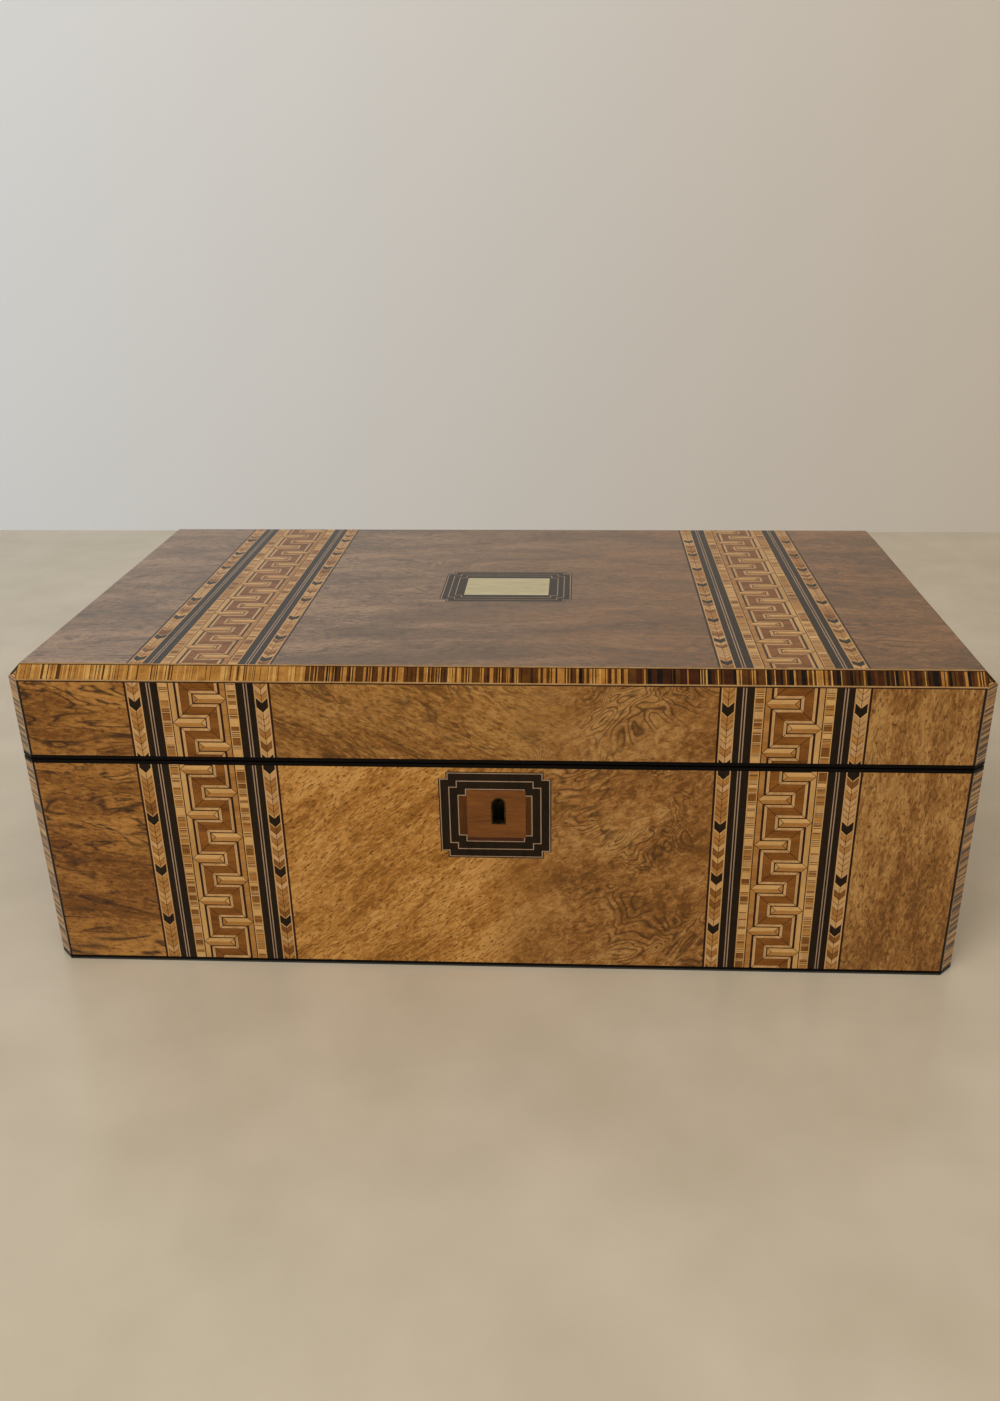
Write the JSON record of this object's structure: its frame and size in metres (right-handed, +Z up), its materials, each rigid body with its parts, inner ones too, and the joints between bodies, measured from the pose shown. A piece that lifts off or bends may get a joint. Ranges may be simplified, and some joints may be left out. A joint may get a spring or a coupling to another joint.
{
  "type": "writing box",
  "caption": "Veneered wooden writing box whose hinged lid opens on a sloping joint to a long leathered writing slope, with lifting flaps, a lock, a pen tray and inkwells.",
  "frame": {"origin": "middle of the underside", "axes": "+X along the front to the right as the lock is faced, +Y from the lock side to the hinges, +Z up"},
  "size_m": [0.4, 0.2209, 0.142],
  "materials": {
    "carcass_pine": "sawn pine, waxed",
    "walnut_front": "french polished burr walnut",
    "walnut_top": "french polished figured walnut",
    "ebony": "french polished ebony",
    "boxwood": "french polished boxwood",
    "meander_brown": "french polished, inlaid",
    "banding": "french polished, cross-banded",
    "padauk": "french polished padauk",
    "bone": "polished bone",
    "brass": "aged brass",
    "steel": "dulled steel",
    "leather": "tooled skiver",
    "mahogany": "waxed mahogany",
    "glass": "clear cut glass",
    "baize": "worn dark baize"
  },
  "bodies": {
    "base": {"base_back_board": "carcass_pine", "base_back_veneer": "walnut_front", "base_baize": "baize", "base_band_strips": "ebony", "base_bottom_board": "carcass_pine", "base_bottom_edging": "ebony", "base_corner_bandings": "banding", "base_flap_bearers": "mahogany", "base_front_board": "carcass_pine", "base_front_veneer": "walnut_front", "base_key_combs": "boxwood", "base_key_meanders": "meander_brown", "base_rim_lipping": "ebony", "base_screws": "brass", "base_side_boards": "carcass_pine", "base_side_veneers": "walnut_front", "cell_partitions": "mahogany", "escutcheon_frame": "ebony", "escutcheon_tablet": "padauk", "hinge_base_leaves": "brass", "hinge_pins": "steel", "inkwell_blocks": "carcass_pine", "inkwell_bottles": "glass", "inkwell_collars": "brass", "keyhole_liner": "brass", "lock_case": "brass", "lock_face_plate": "brass", "lock_lever": "steel", "pen_divider": "mahogany", "pen_tray": "mahogany", "tray_bearers": "mahogany"},
    "lid": {"hinge_lid_leaves": "brass", "lid_back_board": "carcass_pine", "lid_back_veneer": "walnut_front", "lid_band_strips": "ebony", "lid_corner_bandings": "banding", "lid_edge_bandings": "banding", "lid_flap_bearers": "mahogany", "lid_front_board": "carcass_pine", "lid_front_veneer": "walnut_front", "lid_key_combs": "boxwood", "lid_key_meanders": "meander_brown", "lid_rim_lipping": "ebony", "lid_screws": "brass", "lid_side_boards": "carcass_pine", "lid_side_veneers": "walnut_front", "lid_top_board": "carcass_pine", "lid_top_veneer": "walnut_top", "lock_striker": "brass", "plaque": "bone", "plaque_frame": "ebony"},
    "base_flap": {"base_flap_board": "mahogany", "base_flap_leather": "leather", "base_flap_pivots": "brass"},
    "lid_flap": {"lid_flap_board": "mahogany", "lid_flap_leather": "leather", "lid_flap_pivots": "brass"},
    "cap_left": {"inkwell_cap_left": "brass"},
    "cap_right": {"inkwell_cap_right": "brass"},
    "lock_bolt": {"lock_bolt": "steel"}
  },
  "joints": [
    {"name": "lid_hinge", "type": "hinge", "parent": "base", "child": "lid", "pos_m": [0, 0.1093, 0.071], "axis": [-1, 0, 0], "range_deg": [0, 180]},
    {"name": "base_flap_hinge", "type": "hinge", "parent": "base", "child": "base_flap", "pos_m": [0, 0.0955, 0.06825], "axis": [-1, 0, 0], "range_deg": [0, 54]},
    {"name": "lid_flap_hinge", "type": "hinge", "parent": "lid", "child": "lid_flap", "pos_m": [0, 0.0955, 0.07754], "axis": [1, 0, 0], "range_deg": [0, 54]},
    {"name": "cap_left_hinge", "type": "hinge", "parent": "base", "child": "cap_left", "pos_m": [-0.169, -0.0843, 0.0825], "axis": [1, 0, 0], "range_deg": [0, 90]},
    {"name": "cap_right_hinge", "type": "hinge", "parent": "base", "child": "cap_right", "pos_m": [0.169, -0.0843, 0.0825], "axis": [1, 0, 0], "range_deg": [0, 90]},
    {"name": "lock_bolt_slide", "type": "slide", "parent": "base", "child": "lock_bolt", "axis": [1, 0, 0], "range_m": [0, 0.005]}
  ],
  "couplings": [
    {"joint": "base_flap_hinge", "follows": "lid_hinge", "ratio": 0.3},
    {"joint": "lid_flap_hinge", "follows": "lid_hinge", "ratio": 0.3},
    {"joint": "cap_left_hinge", "follows": "lid_hinge", "ratio": 0.5},
    {"joint": "cap_right_hinge", "follows": "lid_hinge", "ratio": 0.5}
  ]
}
